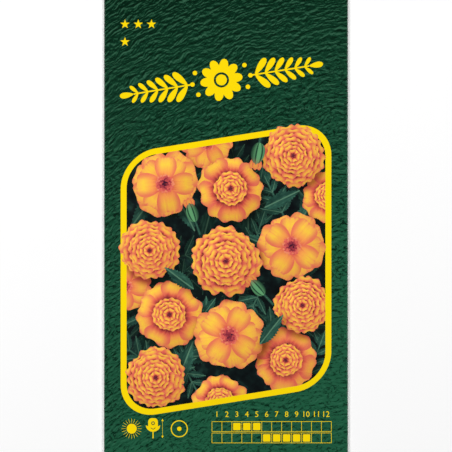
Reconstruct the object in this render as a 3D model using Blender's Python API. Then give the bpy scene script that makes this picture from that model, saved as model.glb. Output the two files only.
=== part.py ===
"""Flower seed packet: a printed paper sheet folded and glued flat round loose marigold seeds.

The packet lies on its back: printed front up (+Z), top edge towards +Y, the back's outer face on z = 0, and
the origin under the middle. Lengths are metres.
"""

import math

import bpy
import numpy as np

MM = 0.001

# Envelope
WIDTH = 80 * MM
HEIGHT = 149 * MM
PAPER = 0.12 * MM  # thickness of the sheet
GLUE = 0.05 * MM  # gap left where a glued seam holds two layers
CREASE = 0.30 * MM  # radius of the sheet's middle round every fold
CREASE_STEPS = 6
BULGE = 2.3 * MM  # how far the seeds push the front up at its crown
CROWN_Y = -6 * MM  # the crown is a little below the middle
SEAM_OVERLAP = 10 * MM  # the two side returns meet on the back's centre line
TOP_FLAP = 18 * MM
BOTTOM_FLAP = 16 * MM
FLAP_INSET = 1.4 * MM  # each end of a flap's fold stops this far short of the packet's side
FLAP_TAPER = 2.1 * MM  # and its sides lean in by this much
FLAP_CORNER = 2.0 * MM  # chamfer at a flap's free corners
STEP_MARGIN = 0.3 * MM  # a layer is fully lifted this far before the one beneath it starts
STEP_RAMP = 1.2 * MM  # and takes this length to rise
END_CLEARANCE = 0.14 * MM  # the returns stop short of the flaps' folds
FRONT_PITCH = 7.8 * MM  # distance between the front's columns of points
PITCH = 9 * MM  # and between the back's, and all rows

TURN_X = WIDTH / 2 - PAPER / 2 - CREASE  # where the side creases start
TURN_Y = HEIGHT / 2 - PAPER / 2 - CREASE  # where the flaps' creases start
FRONT_BASE = CREASE * 2 + PAPER / 2  # height of the front's middle at its edges
LAYER = PAPER + GLUE
CREASE_RUN = math.pi * CREASE
FLAP_HALF = WIDTH / 2 - FLAP_INSET
RETURN_END = TURN_Y - END_CLEARANCE
SIDE_ROOM = TURN_X - FLAP_HALF - STEP_MARGIN / 2  # from the side crease to where a return is fully lifted

# Seeds
SEED_COUNT = 48
SEED_LENGTHS = (9.6 * MM, 10.6 * MM, 11.4 * MM)  # tuft included
SEED_RADIUS = 0.48 * MM
SEED_FLATNESS = 0.8
SEED_SIDES = 6
SEED_CLEARANCE = 0.32 * MM
SEED_LINE_POINTS = 9  # a lying seed is tried at this many points of its middle line
SEED_FIELD_Y = (-58 * MM, 40 * MM)
SEED_GATHER = 1.6  # above 1, more of the seeds lie low in the field
SEED_SPREAD = 18  # seeds lie a further 1/18 of their length apart
RANDOM_SEED = 11

# Share of the seed's length, share of its radius, and how deeply the tuft's three awns are cut there
SEED_PROFILE = (
    (0.00, 0.22, 0.0),
    (0.12, 0.62, 0.0),
    (0.32, 1.00, 0.0),
    (0.52, 0.92, 0.0),
    (0.66, 0.62, 0.1),
    (0.72, 0.70, 0.25),
    (0.86, 0.80, 0.45),
    (1.00, 0.55, 0.6),
)


def clear_scene():
    for thing in list(bpy.data.objects):
        bpy.data.objects.remove(thing, do_unlink=True)


def make_material(name, colour, roughness):
    material = bpy.data.materials.new(name)
    material.use_nodes = True
    shader = material.node_tree.nodes["Principled BSDF"]
    shader.inputs["Base Color"].default_value = (*colour, 1.0)
    shader.inputs["Roughness"].default_value = roughness
    shader.inputs["Metallic"].default_value = 0.0
    return material


def add_object(name, mesh, material):
    thing = bpy.data.objects.new(name, mesh)
    if not mesh.materials:
        mesh.materials.append(material)
    bpy.context.scene.collection.objects.link(thing)
    return thing


def bulge(x, y):
    """Height that the seeds add to the front: nearly flat in the middle and level again at every edge."""
    across = np.clip(np.abs(x) / TURN_X, 0, 1)
    reach = np.where(y < CROWN_Y, TURN_Y + CROWN_Y, TURN_Y - CROWN_Y)
    along = np.clip(np.abs(y - CROWN_Y) / reach, 0, 1)
    return BULGE * (1 - across**3) ** 1.5 * (1 - along**4) ** 1.5


def ramp(distance):
    """0 at and below no distance, 1 past the ramp's length, and straight between."""
    return np.clip(distance / STEP_RAMP, 0, 1)


def flap_below(x, y):
    """1 where a return lies on a flap, 0 away from the flaps."""
    flap = np.where(y > 0, TOP_FLAP, BOTTOM_FLAP)
    along = ramp(np.abs(y) - (TURN_Y - flap - STEP_MARGIN - STEP_RAMP))
    across = np.clip((TURN_X - np.abs(x)) / SIDE_ROOM, 0, 1)
    return along * across


def left_over_right(x):
    """1 where the left return lies on the right one, which ends at minus half the overlap."""
    return ramp(x + SEAM_OVERLAP / 2 + STEP_MARGIN + STEP_RAMP)


def wrap(run, turn):
    """Carries a signed run along the sheet out to turn, round the crease and back under the front.

    Returns the flat coordinate and the angle round the crease, 0 on the front and pi on the back.
    """
    beyond = np.abs(run) - turn
    angle = np.clip(beyond / CREASE, 0, math.pi)
    back = np.maximum(beyond - CREASE_RUN, 0)
    flat = np.minimum(np.abs(run), turn) + CREASE * np.sin(angle) - back
    return np.sign(run) * flat, angle


def fold(s, t, offset):
    """Places the blank's point (s, t) in space, offset outwards from the sheet's middle."""
    x, side_angle = wrap(s, TURN_X)
    y, flap_angle = wrap(t, TURN_Y)
    x = x + np.sign(s) * offset * np.sin(side_angle)
    y = y + np.sign(t) * offset * np.sin(flap_angle)
    z = CREASE + PAPER / 2 + (CREASE + offset) * np.cos(side_angle) * np.cos(flap_angle)
    on_front = (side_angle == 0) & (flap_angle == 0)
    on_return = side_angle >= math.pi
    lift = LAYER * (flap_below(x, y) + np.where(s < 0, left_over_right(x), 0))
    return np.stack([x, y, z + np.where(on_front, bulge(x, y), 0) + np.where(on_return, lift, 0)], axis=-1)


def spaced(start, end, pitch):
    """Evenly spaced values from start to end, about pitch apart, without the last one."""
    count = max(1, round(abs(end - start) / pitch))
    return list(np.linspace(start, end, count + 1)[:-1])


def blank_columns():
    """Runs across the sheet, from the left return's free edge to the right one's."""
    crease = list(np.linspace(TURN_X, TURN_X + CREASE_RUN, CREASE_STEPS + 1))
    half = spaced(0, FLAP_HALF, FRONT_PITCH) + [FLAP_HALF] + crease
    back_start = TURN_X + CREASE_RUN
    reach = TURN_X + SEAM_OVERLAP / 2
    seam_top = TURN_X - SEAM_OVERLAP / 2 - STEP_MARGIN
    right = [SIDE_ROOM] + spaced(SIDE_ROOM + PITCH, reach, PITCH) + [reach]
    left = [SIDE_ROOM] + spaced(SIDE_ROOM + PITCH, seam_top - STEP_RAMP, PITCH)
    left += [seam_top - STEP_RAMP, seam_top, reach]
    right_half = half + [back_start + distance for distance in right]
    left_half = half + [back_start + distance for distance in left]
    return np.array([-value for value in reversed(left_half)] + right_half[1:])


def half_rows(flap):
    """Runs up the sheet on one side of the middle, from 0 to the flap's free edge."""
    lifted = TURN_Y - flap - STEP_MARGIN
    body = spaced(0, lifted - STEP_RAMP, PITCH) + [lifted - STEP_RAMP]
    body += spaced(lifted, RETURN_END, PITCH) + [RETURN_END]
    crease = list(np.linspace(TURN_Y, TURN_Y + CREASE_RUN, CREASE_STEPS + 1))
    free = TURN_Y + CREASE_RUN + flap
    return body + crease + [free - FLAP_CORNER, free]


def blank_rows():
    bottom = [-value for value in reversed(half_rows(BOTTOM_FLAP))]
    return np.array(bottom + half_rows(TOP_FLAP)[1:])


def flap_half_width(t):
    """Half the sheet's width at a row of a flap: full at the fold, leaning in, chamfered at the end."""
    flap = np.where(t > 0, TOP_FLAP, BOTTOM_FLAP)
    down = np.clip(np.abs(t) - TURN_Y - CREASE_RUN, 0, None)
    corner = np.clip(down - (flap - FLAP_CORNER), 0, None)
    return FLAP_HALF - FLAP_TAPER * down / flap - corner


def skin(columns, rows, offset):
    """Folded points of one side of the sheet, one for each crossing of a column and a row."""
    s, t = np.meshgrid(columns, rows)
    in_flap = np.abs(t) > TURN_Y + CREASE_RUN
    s = np.where(in_flap & (np.abs(s) <= FLAP_HALF), s * flap_half_width(t) / FLAP_HALF, s)
    return fold(s, t, offset)


def sheet_mesh():
    """The folded sheet as one closed solid: a printed skin, an inner skin and the cut edge between them."""
    columns = blank_columns()
    rows = blank_rows()
    mid_s = (columns[1:] + columns[:-1]) / 2
    mid_t = (rows[1:] + rows[:-1]) / 2
    kept = (np.abs(mid_t)[:, None] < RETURN_END) | (np.abs(mid_s)[None, :] < FLAP_HALF)
    points = np.concatenate(
        [skin(columns, rows, side * PAPER / 2).reshape(-1, 3) for side in (1, -1)]
    )
    per_skin = len(columns) * len(rows)
    faces = []
    for row, column in zip(*np.nonzero(kept)):
        corner = int(row * len(columns) + column)
        ring = [corner, corner + 1, corner + 1 + len(columns), corner + len(columns)]
        faces.append(ring)
        faces.append([index + per_skin for index in reversed(ring)])
        beside = ((row - 1, column), (row, column + 1), (row + 1, column), (row, column - 1))
        for side, (near_row, near_column) in enumerate(beside):
            inside = 0 <= near_row < kept.shape[0] and 0 <= near_column < kept.shape[1]
            if inside and kept[near_row, near_column]:
                continue
            start, end = ring[side], ring[(side + 1) % 4]
            faces.append([end, start, start + per_skin, end + per_skin])
    mesh = bpy.data.meshes.new("paper_envelope")
    used = sorted({index for face in faces for index in face})
    place = {index: number for number, index in enumerate(used)}
    mesh.from_pydata(points[used].tolist(), [], [[place[index] for index in face] for face in faces])
    mesh.update()
    return mesh


def seed_mesh(length):
    """A slim flattened spindle that opens into a tuft of three pointed awns, along X and centred."""
    angles = np.arange(SEED_SIDES) * math.tau / SEED_SIDES
    awn = np.cos(angles * SEED_SIDES / 2)
    points = []
    for share, width, cut in SEED_PROFILE:
        radius = SEED_RADIUS * width * (1 + cut * (awn - 1) / 2)
        x = np.full(SEED_SIDES, (share - 0.5) * length)
        y = radius * np.cos(angles)
        z = radius * np.sin(angles) * SEED_FLATNESS
        points += np.stack([x, y, z], -1).tolist()
    faces = [list(range(SEED_SIDES))[::-1]]
    for ring in range(len(SEED_PROFILE) - 1):
        base = ring * SEED_SIDES
        for side in range(SEED_SIDES):
            after = (side + 1) % SEED_SIDES
            faces.append([base + side, base + after, base + SEED_SIDES + after, base + SEED_SIDES + side])
    last = (len(SEED_PROFILE) - 1) * SEED_SIDES
    faces.append(list(range(last, last + SEED_SIDES)))
    mesh = bpy.data.meshes.new("seed")
    mesh.from_pydata(points, [], faces)
    mesh.update()
    return mesh


def seed_line(x, y, angle, length):
    """Points along a lying seed's middle line."""
    reach = np.linspace(-0.5, 0.5, SEED_LINE_POINTS)[:, None] * length
    return np.array([x, y]) + reach * np.array([math.cos(angle), math.sin(angle)])


def seat_height(line):
    """Height of the back's inner face under a seed, the highest along it."""
    right = PAPER + LAYER * flap_below(line[:, 0], line[:, 1])
    left = right + LAYER * left_over_right(line[:, 0])
    reach = SEAM_OVERLAP / 2 + SEED_RADIUS
    return float(np.max(np.where(line[:, 0] < reach, left, right)))


def seed_places():
    """Scatters the seeds in one layer, each clear of the others and of the paper, more of them low down."""
    random = np.random.default_rng(RANDOM_SEED)
    thickness = SEED_RADIUS * 2 * SEED_FLATNESS
    places = []
    lines = []
    low, high = SEED_FIELD_Y
    while len(places) < SEED_COUNT:
        length = SEED_LENGTHS[len(places) % len(SEED_LENGTHS)]
        x = random.uniform(-TURN_X, TURN_X)
        y = low + (high - low) * random.uniform() ** SEED_GATHER
        angle = random.uniform(0, math.pi)
        line = seed_line(x, y, angle, length)
        seat = seat_height(line) + SEED_CLEARANCE
        wide = line + SEED_RADIUS * np.sign(line)
        ceiling = np.min(FRONT_BASE - PAPER / 2 + bulge(wide[:, 0], wide[:, 1]))
        if ceiling - seat < thickness + SEED_CLEARANCE:
            continue
        apart = [np.min(np.linalg.norm(line[:, None] - other[None], axis=-1)) for other in lines]
        if apart and min(apart) < 2 * SEED_RADIUS + SEED_CLEARANCE + length / SEED_SPREAD:
            continue
        places.append((x, y, seat + thickness / 2, angle, length))
        lines.append(line)
    return places


def build():
    clear_scene()
    paper = make_material("printed_paper", (0.03, 0.09, 0.05), 0.38)
    husk = make_material("seed_husk", (0.03, 0.022, 0.018), 0.7)
    add_object("paper_envelope", sheet_mesh(), paper)
    meshes = {length: seed_mesh(length) for length in SEED_LENGTHS}
    for number, (x, y, z, angle, length) in enumerate(seed_places(), start=1):
        seed = add_object(f"seed_{number:02d}", meshes[length], husk)
        seed.location = (x, y, z)
        seed.rotation_euler = (0, 0, angle)


build()
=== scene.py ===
# %% [markdown]
# # A printed seed packet
# The packet is one sheet of thin coated paper, printed on one side, then folded and glued into a flat
# envelope that holds loose seeds. It lies on its back. Almost everything the eye sees is print, so most
# of this lesson is about drawing a print as real geometry: each petal and leaf is an outline cut into the
# flat sheet, and then the whole sheet is folded. A picture laid on the sheet would be the usual way.
# Outlines stay sharp however near the camera comes, and each of them can carry its own veins and light.

# %% Load the fixed frame
import math

import bpy
import numpy as np
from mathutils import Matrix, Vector
from mathutils.geometry import delaunay_2d_cdt


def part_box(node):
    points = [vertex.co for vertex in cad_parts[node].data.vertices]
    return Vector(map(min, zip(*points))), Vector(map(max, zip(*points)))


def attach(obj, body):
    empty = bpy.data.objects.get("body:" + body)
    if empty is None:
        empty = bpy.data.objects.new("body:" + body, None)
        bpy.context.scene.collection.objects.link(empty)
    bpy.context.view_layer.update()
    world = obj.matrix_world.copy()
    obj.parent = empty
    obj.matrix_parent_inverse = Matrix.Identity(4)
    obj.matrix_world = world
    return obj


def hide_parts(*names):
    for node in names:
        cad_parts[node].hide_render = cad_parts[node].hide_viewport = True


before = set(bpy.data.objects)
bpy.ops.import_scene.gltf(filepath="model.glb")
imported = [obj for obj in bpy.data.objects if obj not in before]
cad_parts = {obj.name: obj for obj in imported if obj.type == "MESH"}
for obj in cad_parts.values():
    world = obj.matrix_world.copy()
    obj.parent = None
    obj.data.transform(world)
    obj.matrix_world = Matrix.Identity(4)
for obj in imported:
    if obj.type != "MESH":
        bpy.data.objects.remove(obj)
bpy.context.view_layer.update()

MM = 0.001
DRAW_SEED = 7
random = np.random.default_rng(DRAW_SEED)

# %% [markdown]
# ## Sizes
# The packet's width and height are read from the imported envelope, so they can't drift from it. The small
# sizes are those of the paper and its folds. Lengths of the flat sheet are in millimetres, as on a
# printer's drawing, and only the fold at the end turns them into metres.

# %% The paper and its folds, in millimetres
low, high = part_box("paper_envelope")
WIDTH = (high.x - low.x) / MM
HEIGHT = (high.y - low.y) / MM
PAPER = 0.12
GLUE = 0.05
LAYER = PAPER + GLUE
# A crease carries the middle of the sheet through half a circle of this radius
CREASE = 0.30
CREASE_RUN = math.pi * CREASE
CREASE_STEPS = 8
# The creases start here, measured from the packet's middle
TURN_X = WIDTH / 2 - PAPER / 2 - CREASE
TURN_Y = HEIGHT / 2 - PAPER / 2 - CREASE
# The seeds push the front up by the bulge, and most of all a little below the middle
BULGE = high.z / MM - 2 * CREASE - PAPER
CROWN_Y = -6.0

# %% The returns, the flaps and the corners
# Each return passes the back's centre line by this much, where the two are glued
SEAM_HALF = 5.0
FREE_EDGE = 2 * TURN_X + CREASE_RUN + SEAM_HALF
TOP_FLAP = 18.0
BOTTOM_FLAP = 16.0
FLAP_HALF = WIDTH / 2 - 1.4
FLAP_TAPER = 2.1
FLAP_ROUND = 2.0
# A return is fully lifted from here inwards where a flap lies under it
LIFTED_X = FLAP_HALF + 0.15
# Over an edge beneath it, a layer is lifted this far ahead, and rises over this length
STEP_MARGIN = 0.3
STEP_RAMP = 1.2
# The returns stop just short of the flaps' folds, and a small lip closes each corner of the packet
RETURN_END = TURN_Y - 0.14
CORNER_END = TURN_Y + 0.30
CORNER_SLIT = 0.06
CORNER_INSET = 2 * TURN_X + CREASE_RUN - LIFTED_X
print(f"packet {WIDTH:.1f} x {HEIGHT:.1f} mm, bulge {BULGE:.2f} mm, flat sheet {2 * FREE_EDGE:.1f} mm wide")

# %% [markdown]
# ## Camera and light
# The packet is photographed like flat artwork: straight from above, with a long lens, under soft lamps
# that stand about 40 degrees above the table at both sides and at the top edge. At that angle the glossy
# print sends the lamps' reflections away from the camera and shows its own colour. The world stays dim
# for the same reason.

# %% Camera straight above, framing the packet's whole height
VIEW_HEIGHT = 148.1
LENS = 240.0
SENSOR = 36.0
# The packet's outline lies about this high, and the view's height is measured there
FRONT_LEVEL = 0.7
camera_data = bpy.data.cameras.new("camera")
camera_data.lens = LENS
camera_data.sensor_width = SENSOR
camera = bpy.data.objects.new("camera", camera_data)
camera.location = (0, 0, (VIEW_HEIGHT * LENS / SENSOR + FRONT_LEVEL) * MM)
bpy.context.scene.collection.objects.link(camera)
bpy.context.scene.camera = camera
bpy.context.scene.view_settings.view_transform = "Standard"

# %% Soft lamps at both sides and at the top edge: place in metres and power in watts
SOFT_BOX = 0.40
LAMPS = (
    ("left_soft_box", (-0.80, 0.10, 0.68), 7.4),
    ("right_soft_box", (0.80, 0.05, 0.68), 5.8),
    ("top_soft_box", (0.0, 0.85, 0.68), 3.6),
)
for name, place, power in LAMPS:
    lamp = bpy.data.lights.new(name, "AREA")
    lamp.shape = "SQUARE"
    lamp.size = SOFT_BOX
    lamp.energy = power
    light = bpy.data.objects.new(name, lamp)
    light.location = place
    light.rotation_euler = (-Vector(place)).to_track_quat("-Z", "Y").to_euler()
    bpy.context.scene.collection.objects.link(light)

# %% A dim, even world
WORLD_LIGHT = 0.06
world = bpy.data.worlds.new("studio")
world.use_nodes = True
world.node_tree.nodes["Background"].inputs["Color"].default_value = (1, 1, 1, 1)
world.node_tree.nodes["Background"].inputs["Strength"].default_value = WORLD_LIGHT
bpy.context.scene.world = world
print("lamps:", [name for name, _, _ in LAMPS])


# %% [markdown]
# ## Building materials in code
# A few short helpers keep node trees readable: one adds a node and wires its inputs, the others name the
# usual ones. Print colours are given as the numbers a designer would write, 0 to 255, and turned into the
# linear light that shaders work in.

# %% Colours and nodes
def tone(red, green, blue):
    """A print colour as linear light: share / 12.92 up to 0.04045, else ((share + 0.055) / 1.055)^2.4."""
    share = np.array([red, green, blue]) / 255
    linear = np.where(share <= 0.04045, share / 12.92, ((share + 0.055) / 1.055) ** 2.4)
    return (*linear.tolist(), 1.0)


def wire(tree, socket, value):
    """Links an output to the socket, or sets the socket's own value."""
    if isinstance(value, bpy.types.NodeSocket):
        tree.links.new(value, socket)
    else:
        socket.default_value = value


def add_node(tree, kind, inputs=(), **settings):
    """A new node with its settings, and a value or a link for each input that isn't None."""
    node = tree.nodes.new(kind)
    for name, value in settings.items():
        setattr(node, name, value)
    for name, value in dict(inputs).items():
        if value is not None:
            wire(tree, node.inputs[name], value)
    return node


# %% Arithmetic, steps and mixes
def sums(tree, operation, first, second=None, third=None):
    node = add_node(tree, "ShaderNodeMath", {0: first, 1: second, 2: third}, operation=operation)
    return node.outputs[0]


def vectors(tree, operation, first, second=None, scale=None):
    inputs = {0: first, 1: second, "Scale": scale}
    return add_node(tree, "ShaderNodeVectorMath", inputs, operation=operation).outputs[0]


def three(tree, x, y=None, z=None):
    return add_node(tree, "ShaderNodeCombineXYZ", {0: x, 1: y, 2: z}).outputs[0]


def parts(tree, vector):
    return add_node(tree, "ShaderNodeSeparateXYZ", {0: vector}).outputs


def between(tree, value, start, end, low_out=0.0, high_out=1.0, kind="SMOOTHSTEP"):
    """A step, smooth or LINEAR, from low_out at start to high_out at end."""
    inputs = {0: value, 1: start, 2: end, 3: low_out, 4: high_out}
    return add_node(tree, "ShaderNodeMapRange", inputs, interpolation_type=kind).outputs[0]


def blend(tree, share, first, second, mode="MIX"):
    inputs = {0: share, 6: first, 7: second}
    return add_node(tree, "ShaderNodeMix", inputs, data_type="RGBA", blend_type=mode).outputs[2]


# %% Noise, places and colour ramps
def noise(tree, place, scale, detail=3.0, rough=0.55):
    inputs = {"Vector": place, "Scale": scale, "Detail": detail, "Roughness": rough}
    return add_node(tree, "ShaderNodeTexNoise", inputs).outputs["Fac"]


def mapped(tree, place, scale=(1, 1, 1), shift=(0, 0, 0)):
    inputs = {"Vector": place, "Location": shift, "Scale": scale}
    return add_node(tree, "ShaderNodeMapping", inputs).outputs[0]


def object_place(tree):
    return add_node(tree, "ShaderNodeTexCoord").outputs["Object"]


def own_value(tree, attribute, output="Fac"):
    return add_node(tree, "ShaderNodeAttribute", attribute_name=attribute).outputs[output]


def colours_along(tree, value, stops):
    """A colour ramp from pairs of position and colour."""
    node = add_node(tree, "ShaderNodeValToRGB", {0: value})
    elements = node.color_ramp.elements
    elements[0].position, elements[0].color = stops[0]
    elements[1].position, elements[1].color = stops[-1]
    for position, colour in stops[1:-1]:
        elements.new(position).color = colour
    return node.outputs["Color"]


# %% A node group, made once and shared
def start_group(name, inputs, outputs):
    """An empty node group with named sockets. Returns the group and its two end nodes."""
    group = bpy.data.node_groups.new(name, "ShaderNodeTree")
    for socket, kind, value in inputs:
        made = group.interface.new_socket(socket, in_out="INPUT", socket_type=kind)
        if value is not None:
            made.default_value = value
    for socket, kind in outputs:
        group.interface.new_socket(socket, in_out="OUTPUT", socket_type=kind)
    return group, group.nodes.new("NodeGroupInput"), group.nodes.new("NodeGroupOutput")


def use_group(tree, group, inputs):
    node = add_node(tree, "ShaderNodeGroup", node_tree=group)
    for name, value in inputs.items():
        wire(tree, node.inputs[name], value)
    return node.outputs


# %% [markdown]
# ## Three effects that every ink shares
# Offset ink on paper is never perfectly even: it has a fine mottle. The coating follows the fibres
# beneath, so the gloss has a faint tooth. And where the sheet is folded hard, the ink cracks and white
# paper shows along the edge. Each is a node group, so one change reaches all the inks.

# %% Ink mottle: a factor near 1 that varies over the sheet
def make_mottle():
    """1 + amount (0.6 fine noise + 0.4 broad noise - 0.5)."""
    inputs = [("Place", "NodeSocketVector", None), ("Amount", "NodeSocketFloat", 0.1)]
    group, start, end = start_group("ink_mottle", inputs, [("Factor", "NodeSocketFloat")])
    fine = noise(group, start.outputs["Place"], scale=2.1, detail=4.0)
    broad = noise(group, start.outputs["Place"], scale=0.11, detail=2.0)
    both = sums(group, "ADD", sums(group, "MULTIPLY", fine, 0.6), sums(group, "MULTIPLY", broad, 0.4))
    spread = sums(group, "MULTIPLY", sums(group, "SUBTRACT", both, 0.5), start.outputs["Amount"])
    wire(group, end.inputs["Factor"], sums(group, "ADD", spread, 1.0))
    return group


# %% Paper tooth: height of the fibres and the gloss between them
def make_tooth():
    inputs = [("Place", "NodeSocketVector", None)]
    outputs = [("Height", "NodeSocketFloat"), ("Roughness", "NodeSocketFloat")]
    group, start, end = start_group("paper_tooth", inputs, outputs)
    across_grain = mapped(group, start.outputs["Place"], scale=(1.0, 2.3, 1.0))
    fibres = noise(group, across_grain, scale=3.4, detail=5.0, rough=0.7)
    wire(group, end.inputs["Height"], fibres)
    wire(group, end.inputs["Roughness"], between(group, fibres, 0.3, 0.7, 0.17, 0.24))
    return group


# %% Crease wear: 1 where white paper shows along the folded edges and round the corners
def make_wear():
    """The distance to the nearest edge or corner, in shares of Edge and Corner, made ragged by noise."""
    inputs = [("Edge", "NodeSocketFloat", 0.1), ("Corner", "NodeSocketFloat", 0.7)]
    group, start, end = start_group("crease_wear", inputs, [("Mask", "NodeSocketFloat")])
    place = object_place(group)
    inset = []
    for axis, half_size in zip(parts(group, place), (WIDTH / 2, HEIGHT / 2)):
        from_middle = sums(group, "MULTIPLY", sums(group, "ABSOLUTE", axis), 1 / MM)
        inset.append(sums(group, "SUBTRACT", half_size, from_middle))
    to_edge = sums(group, "DIVIDE", sums(group, "MINIMUM", *inset), start.outputs["Edge"])
    to_corner = sums(group, "DIVIDE", sums(group, "ADD", *inset), start.outputs["Corner"])
    nearest = sums(group, "MINIMUM", to_edge, to_corner)
    patches = noise(group, place, scale=900.0, detail=4.0, rough=0.65)
    ragged = sums(group, "ADD", nearest, sums(group, "MULTIPLY_ADD", patches, 3.0, -1.5))
    wire(group, end.inputs["Mask"], between(group, ragged, 1.2, 0.8))
    return group


mottle_group = make_mottle()
tooth_group = make_tooth()
wear_group = make_wear()
print("node groups:", [group.name for group in bpy.data.node_groups])


# %% [markdown]
# ## Ink on paper
# Every ink is the same coated paper with another colour on it. Each could be written out as a material,
# but one function makes them all alike. It is given a painter: a function that lays out the colour nodes
# and returns their colour. The sheet's map puts each printed point where it lay on the flat sheet, in
# millimetres, and a pattern that follows it runs unbroken round the folds.

# %% Where a printed point lies
SHEET_MAP = "OFBake"
MAP_SPAN = 190.0


def on_sheet(tree):
    """Millimetres on the flat sheet, from its middle."""
    uv = add_node(tree, "ShaderNodeUVMap", uv_map=SHEET_MAP).outputs[0]
    return mapped(tree, uv, (MAP_SPAN, MAP_SPAN, 1), (-MAP_SPAN / 2, -MAP_SPAN / 2, 0))


def on_motif(tree):
    """Along a motif from 0 to 1, across it from -1 to 1, and the tint drawn for it."""
    return parts(tree, own_value(tree, "on_motif", "Vector"))


def lit(tree, colour, falls=(1.0, 1.0, 1.0)):
    """The colour under the painted light: each channel times the light to the power of its fall."""
    light = own_value(tree, "lit")
    shares = [sums(tree, "POWER", light, fall) for fall in falls]
    return blend(tree, 1.0, colour, three(tree, *shares), "MULTIPLY")


# %% The coated, printed paper
PAPER_WHITE = tone(236, 235, 228)
EDGE_WEAR = 0.04
CORNER_WEAR = 0.35
TOOTH_DEPTH = 0.02 * MM


def make_ink(name, painter, mottle=0.22):
    material = bpy.data.materials.new(name)
    material.use_nodes = True
    tree = material.node_tree
    place = on_sheet(tree)
    factor = use_group(tree, mottle_group, {"Place": place, "Amount": mottle})["Factor"]
    inked = blend(tree, 1.0, painter(tree), three(tree, factor, factor, factor), "MULTIPLY")
    worn = use_group(tree, wear_group, {"Edge": EDGE_WEAR, "Corner": CORNER_WEAR})["Mask"]
    tooth = use_group(tree, tooth_group, {"Place": place})
    rise = {"Strength": 0.25, "Distance": TOOTH_DEPTH, "Height": tooth["Height"]}
    shader = tree.nodes["Principled BSDF"]
    wire(tree, shader.inputs["Base Color"], blend(tree, worn, inked, PAPER_WHITE))
    wire(tree, shader.inputs["Roughness"], tooth["Roughness"])
    wire(tree, shader.inputs["Normal"], add_node(tree, "ShaderNodeBump", rise).outputs[0])
    shader.inputs["Specular IOR Level"].default_value = 0.35
    return material


# %% [markdown]
# ## The leather ground
# The green ground is printed to look like wrinkled leather. A bump would be shaded by the lamps, while on
# the real print the light and shade are in the ink, so here they are drawn as colour. The trick of any
# embossed look is a difference: take a height, take the same height a little further on, and subtract. A
# slope one way turns pale and a slope the other way turns dark, as if a lamp stood at one side. The
# wrinkles are noise drawn out along curves that are steep at the left and level at the right, and a
# second, slower noise makes them wander. One relief is coloured twice: as pale ridges over dark valleys
# at the top, and as a flatter, lighter skin towards the lower right, where thin dark cracks join it. At
# the foot the skin is calmer still, so the relief is shallower there and the cracks are fainter.

# %% Wrinkles along curves
WRINKLE_SLOPE = 0.375
WRINKLE_CURVE = -0.0036
WRINKLE_STRETCH = 0.50
WRINKLE_SWAY = 4.5
SWAY_SCALE = 0.10


def swayed(tree, place):
    """The place, moved by up to half the sway on each axis."""
    slow = add_node(tree, "ShaderNodeTexNoise", {"Vector": place, "Scale": SWAY_SCALE, "Detail": 2.0})
    centred = vectors(tree, "SUBTRACT", slow.outputs["Color"], (0.5, 0.5, 0.5))
    return vectors(tree, "ADD", place, vectors(tree, "SCALE", centred, scale=WRINKLE_SWAY))


def along_wrinkles(tree, place):
    """Stretch times x, and y less slope x + curve x^2: lines of equal y are the wrinkles."""
    axes = parts(tree, place)
    slope = sums(tree, "MULTIPLY_ADD", axes[0], WRINKLE_CURVE, WRINKLE_SLOPE)
    up = sums(tree, "SUBTRACT", axes[1], sums(tree, "MULTIPLY", axes[0], slope))
    return three(tree, sums(tree, "MULTIPLY", axes[0], WRINKLE_STRETCH), up)


# %% The embossed relief
EMBOSS_SCALE = 0.78
EMBOSS_STEP = 0.21
EMBOSS_GAIN = 3.3


def embossed(tree, place, depth):
    """0.5 + gain times depth times (the height one step up - the height one step down)."""
    heights = []
    for step in (EMBOSS_STEP, -EMBOSS_STEP):
        stepped = mapped(tree, place, shift=(0, step, 0))
        heights.append(noise(tree, stepped, EMBOSS_SCALE, detail=3.0, rough=0.6))
    gain = sums(tree, "MULTIPLY", depth, EMBOSS_GAIN)
    return sums(tree, "MULTIPLY_ADD", sums(tree, "SUBTRACT", *heights), gain, 0.5)


def cracks(tree, wrinkled, wandering):
    """1 where a height crosses 0.5, which draws thin lines, and only where a second noise is high."""
    height = noise(tree, wrinkled, scale=0.72, detail=4.0)
    line = between(tree, sums(tree, "ABSOLUTE", sums(tree, "SUBTRACT", height, 0.5)), 0.045, 0.010)
    broken = between(tree, noise(tree, wandering, scale=0.7), 0.45, 0.55)
    return sums(tree, "MULTIPLY", line, broken)


# %% Leather print
VALLEYS = [
    (0.08, tone(0, 28, 14)), (0.40, tone(0, 34, 19)), (0.53, tone(3, 42, 25)),
    (0.64, tone(16, 59, 39)), (0.80, tone(34, 77, 55)), (1.0, tone(50, 92, 70))]
FLATS = [
    (0.0, tone(0, 32, 16)), (0.14, tone(8, 58, 37)), (0.29, tone(27, 84, 58)),
    (0.62, tone(31, 91, 64)), (1.0, tone(44, 100, 74))]
CRACK_TONE = tone(0, 30, 16)
# What calm skin loses of its relief and cracks, and gains in flat share
CALM_LOSS = 0.26
CALM_EXTRA = 0.25


def flatness(tree, place):
    """Linear from 0 at the top to 1 below the middle, times 0.88 + 0.0048 x: most at the lower right."""
    axes = parts(tree, place)
    height = sums(tree, "MULTIPLY_ADD", axes[0], -0.13, axes[1])
    down = between(tree, height, 76.0, -22.0, kind="LINEAR")
    return sums(tree, "MULTIPLY", down, sums(tree, "MULTIPLY_ADD", axes[0], 0.0048, 0.88))


def calmness(tree, place):
    """0 to 1 as 0.6 x - y goes from 34 to 60 mm: all of it at the foot and the lower right."""
    axes = parts(tree, place)
    downward = sums(tree, "SUBTRACT", sums(tree, "MULTIPLY", axes[0], 0.6), axes[1])
    return between(tree, downward, 34.0, 60.0)


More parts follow.
